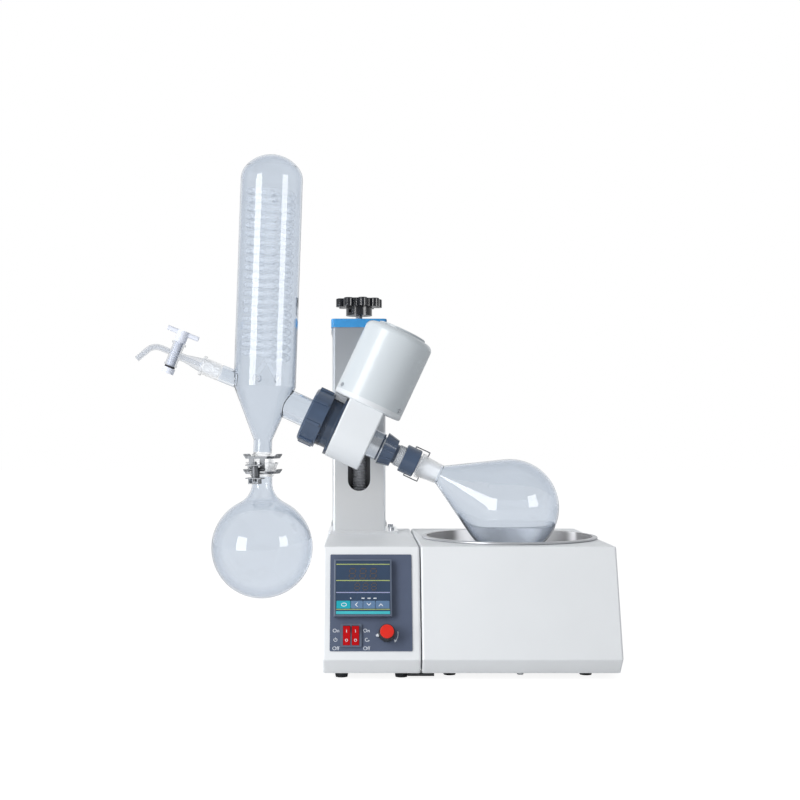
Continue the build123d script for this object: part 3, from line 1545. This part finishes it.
with BuildPart() as stopcock_barrel:
    with BuildSketch(feed):
        with BuildLine():
            Polyline(
                (joint_end, 0),
                (joint_end, feed_cone_small),
                (feed_mouth, feed_cone_large),
                (feed_mouth + feed_collar, feed_cone_large - feed_collar_step),
                (feed_mouth + feed_stem_length, feed_stem_radius),
                (barrel_place, feed_stem_radius),
                (barrel_place, 0),
                close=True,
            )
        make_face()
    revolve(axis=feed_axis)
    with BuildSketch(feed):
        with Locations((barrel_place, 0)):
            upright(-cock_half, cock_half, 0, cock_radius)
            upright(cock_half - cock_lip, cock_half, 0, cock_lip_radius)
            upright(-cock_half, cock_lip - cock_half, 0, (cock_radius + cock_lip_radius) / 2)
    revolve(axis=cock_axis)
    with BuildLine(feed) as spout_path:
        Line((spout_start, spout_height), (spout_straight, spout_height))
        CenterArc((spout_straight, spout_height - spout_bend), spout_bend, 90, -spout_turn)
        Line(bend_end, tip_end)
    spout_root = feed_point((spout_start, spout_height))
    with BuildSketch(Plane(origin=spout_root, z_dir=feed.x_dir)):
        Circle(spout_radius)
    sweep(path=spout_path.line)
    with BuildSketch(Plane(origin=spout_root, z_dir=feed.x_dir)):
        Circle(spout_bore)
    sweep(path=spout_path.line, mode=Mode.SUBTRACT)
    tip = feed_point(tip_end)
    tip_way = feed.x_dir * spout_way[0] + feed.y_dir * spout_way[1]
    for groove in range(3):
        near = tip - tip_way * (barb_land + groove * (barb_land + barb_groove))
        with BuildSketch(Plane(origin=near, z_dir=-tip_way)):
            Circle(spout_radius + 1)
            Circle(spout_radius - barb_depth, mode=Mode.SUBTRACT)
        extrude(amount=barb_groove, mode=Mode.SUBTRACT)
    with BuildSketch(feed):
        band(joint_end, barrel_place, 0, feed_bore)
    revolve(axis=feed_axis, mode=Mode.SUBTRACT)
    with BuildSketch(feed):
        with Locations((barrel_place, 0)):
            upright(-cock_half, cock_half, 0, key_radius + running_fit)
    revolve(axis=cock_axis, mode=Mode.SUBTRACT)
    rod(feed_point((barrel_place, spout_height)), spout_root, spout_bore, Mode.SUBTRACT)
save(stopcock_barrel, "stopcock_barrel")

# Stopcock key with its T handle, turned in the barrel, and the nut below it
nut_top = -cock_half - cock_ring - free_gap
key_end = nut_top - cock_nut + 2
with BuildPart() as stopcock_key:
    with BuildSketch(feed):
        with Locations((barrel_place, 0)):
            upright(key_end, cock_half + free_gap, 0, key_radius)
            upright(cock_half + free_gap, key_head_top, 0, key_head_radius)
    revolve(axis=cock_axis)
    handle_half = key_handle_length / 2
    handle_start = feed_point((barrel_place - handle_half, key_handle_height))
    rod(handle_start, feed_point((barrel_place + handle_half, key_handle_height)), key_handle_radius)
    bore_start = feed_point((barrel_place - 15, spout_height))
    rod(bore_start, feed_point((barrel_place + 15, spout_height)), key_bore, Mode.SUBTRACT)
save(stopcock_key, "stopcock_key")

with BuildPart() as stopcock_nut:
    with BuildSketch(feed):
        with Locations((barrel_place, 0)):
            upright(nut_top - cock_nut, key_end, 0, cock_nut_radius)
            upright(key_end, nut_top, key_radius, cock_nut_radius)
    revolve(axis=cock_axis)
save(stopcock_nut, "stopcock_nut")

# Receiving flask: sphere, neck and the cup that takes the ball
neck_bend_x = receiver_neck_radius + receiver_fillet


def receiver_outline(wall):
    """Half section of the receiving flask below its cup, moved in from the outside by the given wall."""
    radius = receiver_radius - wall
    slim = receiver_neck_radius - wall
    bend = receiver_fillet + wall
    bend_height = receiver_z + sqrt((radius + bend) ** 2 - neck_bend_x**2)
    lean_angle = degrees(atan2(bend_height - receiver_z, neck_bend_x))
    with BuildSketch() as outline:
        with BuildLine():
            Polyline((0, receiver_z - radius), (0, cup_low), (slim, cup_low), (slim, bend_height))
            CenterArc((neck_bend_x, bend_height), bend, 180, lean_angle)
            CenterArc((0, receiver_z), radius, -90, 90 + lean_angle)
        make_face()
    return outline.sketch_local


with BuildPart() as receiving_flask:
    with BuildSketch(receiver):
        add(receiver_outline(0))
        with BuildLine():
            Polyline(
                (0, cup_low - 1),
                (receiver_neck_radius, cup_low - 1),
                (cup_low_radius, cup_low),
                (cup_rim_radius, joint_z),
                (0, joint_z),
                close=True,
            )
        make_face()
    revolve(axis=receiver_axis)
    with BuildSketch(receiver):
        add(receiver_outline(receiver_wall))
        upright(receiver_z, joint_z, 0, receiver_neck_radius - receiver_wall)
    revolve(axis=receiver_axis, mode=Mode.SUBTRACT)
    with Locations((joint_x, head_y, joint_z)):
        Sphere(ball_radius + glass_fit, mode=Mode.SUBTRACT)
save(receiving_flask, "receiving_flask")

# Fork clamp: two hinged forks that a thumb nut spreads behind the hinge
tab_end = fork_back - fork_tab_reach
tab_middle = fork_back - fork_tab_reach / 2


fork_flat_half = fork_half_width - fork_flare
fork_corner = (fork_flat_half, fork_back * 0.45)


def fork_outline():
    """Flat of a fork seen from above, without its slot."""
    with BuildSketch() as outline:
        with BuildLine():
            Polyline(
                (-hinge_half - 3, fork_back),
                (hinge_half + 3, fork_back),
                fork_corner,
                (fork_flat_half, fork_tip),
                (-fork_flat_half, fork_tip),
                (-fork_corner[0], fork_corner[1]),
                close=True,
            )
        make_face()
    return outline.sketch_local


def fork_plan(slot):
    """Flat of a fork seen from above, open to the back."""
    with BuildSketch() as plan:
        add(fork_outline())
        Circle(slot, mode=Mode.SUBTRACT)
        with Locations((0, fork_tip / 2)):
            Rectangle(2 * slot, fork_tip, mode=Mode.SUBTRACT)
    return plan.sketch_local


def fork_front_lip():
    """Edge that is folded up along the front of a fork, seen from above."""
    with BuildSketch() as lip:
        add(fork_outline())
        offset(amount=-fork_sheet, kind=Kind.INTERSECTION, mode=Mode.SUBTRACT)
        with Locations((0, fork_lip_back)):
            Rectangle(4 * fork_half_width, 60, align=(Align.CENTER, Align.MIN), mode=Mode.SUBTRACT)
    return lip.sketch_local


def fork_flares():
    """Sides of the prongs bent up and outward, seen from the front."""
    with BuildSketch() as flares:
        for side in (-1, 1):
            with BuildLine():
                inner = side * (fork_flat_half - fork_sheet)
                outer = side * fork_half_width
                Polyline(
                    (inner, 0),
                    (side * fork_flat_half, 0),
                    (outer, fork_flare_rise),
                    (outer, fork_flare_rise + fork_sheet),
                    (inner, fork_sheet),
                    close=True,
                )
            make_face()
    return flares.sketch_local


def fork_side(bottom):
    """Upright plane at the front end of the prongs' bent sides."""
    start = clamp_point(0, fork_corner[1], bottom)
    return Plane(origin=start, x_dir=clamp_plane(0).x_dir, z_dir=-clamp_plane(0).y_dir)


def clamp_point(x, y, z):
    """World point of a place in the clamp."""
    return clamp_plane(z).origin + clamp_plane(z).x_dir * x + clamp_plane(z).y_dir * y


def clamp_block(low, high, left, right, front, back):
    """Block of the clamp between two heights."""
    middle = clamp_point((left + right) / 2, (front + back) / 2, low)
    with Locations(Plane(origin=middle, x_dir=clamp_plane(low).x_dir, z_dir=(0, 0, 1)).location):
        Box(right - left, back - front, high - low, align=(Align.CENTER, Align.CENTER, Align.MIN))


leg_back = fork_back + fork_sheet
fork_lower_z = fork_lower_top - fork_sheet
with BuildPart() as clamp_upper_fork:
    with BuildSketch(clamp_plane(fork_upper_z)):
        add(fork_plan(fork_upper_slot))
    extrude(amount=fork_sheet)
    with BuildSketch(clamp_plane(fork_upper_z)):
        add(fork_front_lip())
    extrude(amount=fork_lip)
    with BuildSketch(fork_side(fork_upper_z)):
        add(fork_flares())
    extrude(amount=fork_corner[1] - fork_tip)
    for side in (-1, 1):
        left, right = sorted((side * (hinge_middle + free_gap), side * hinge_half))
        clamp_block(hinge_z, fork_upper_z + fork_sheet, left, right, fork_back, leg_back)
        rod(clamp_point(left, fork_back, hinge_z), clamp_point(right, fork_back, hinge_z), hinge_radius)
    clamp_block(fork_upper_tab, fork_upper_tab + fork_sheet, -hinge_half, hinge_half, tab_end, leg_back)
    for side in (-1, 1):
        start = clamp_point(side * (hinge_middle - 1), fork_back, hinge_z)
        end = clamp_point(side * (hinge_half + 1), fork_back, hinge_z)
        rod(start, end, hinge_pin_radius + running_fit, Mode.SUBTRACT)
    stud_low = clamp_point(0, tab_middle, fork_upper_tab - 1)
    rod(stud_low, clamp_point(0, tab_middle, fork_upper_tab + 4), stud_radius + free_gap, Mode.SUBTRACT)
save(clamp_upper_fork, "clamp_upper_fork")

with BuildPart() as clamp_lower_fork:
    with BuildSketch(clamp_plane(fork_lower_z)):
        add(fork_plan(fork_lower_slot))
    extrude(amount=fork_sheet)
    with BuildSketch(clamp_plane(fork_lower_z)):
        add(fork_front_lip())
        with Locations((0, fork_back)):
            Rectangle(2 * hinge_half + 1, 8, mode=Mode.SUBTRACT)
    extrude(amount=fork_lip)
    with BuildSketch(fork_side(fork_lower_z)):
        add(fork_flares())
    extrude(amount=fork_corner[1] - fork_tip)
    tab_low = fork_lower_tab - fork_sheet
    for side in (-1, 1):
        left, right = sorted((side * (guard_half - fork_sheet), side * guard_half))
        clamp_block(guard_low, tab_low, left, right, tab_end, tab_end + fork_tab_reach / 2 + guard_half)
    guard_back = tab_end + fork_tab_reach / 2 + guard_half
    clamp_block(guard_low, guard_low + fork_sheet, -guard_half, guard_half, tab_end, guard_back)
    clamp_block(tab_low, hinge_z, -hinge_middle, hinge_middle, fork_back, leg_back)
    middle_start = clamp_point(-hinge_middle, fork_back, hinge_z)
    rod(middle_start, clamp_point(hinge_middle, fork_back, hinge_z), hinge_radius)
    pin_start = clamp_point(-hinge_half - 1, fork_back, hinge_z)
    rod(pin_start, clamp_point(hinge_half + 1, fork_back, hinge_z), hinge_pin_radius)
    clamp_block(tab_low, fork_lower_tab, -hinge_half, hinge_half, tab_end, leg_back)
    stud_bottom = clamp_point(0, tab_middle, tab_low - stud_over)
    rod(stud_bottom, clamp_point(0, tab_middle, fork_upper_tab + fork_sheet + stud_over), stud_radius)
save(clamp_lower_fork, "clamp_lower_fork")

with BuildPart() as clamp_thumb_nut:
    with BuildSketch(clamp_plane(fork_lower_tab + free_gap)):
        with Locations((0, tab_middle)):
            Circle(thumb_nut_radius)
            with PolarLocations(thumb_nut_radius, thumb_nut_ribs):
                Circle(0.45, mode=Mode.SUBTRACT)
            Circle(stud_radius + thread_fit, mode=Mode.SUBTRACT)
    extrude(amount=fork_upper_tab - fork_lower_tab - 2 * free_gap)
save(clamp_thumb_nut, "clamp_thumb_nut")
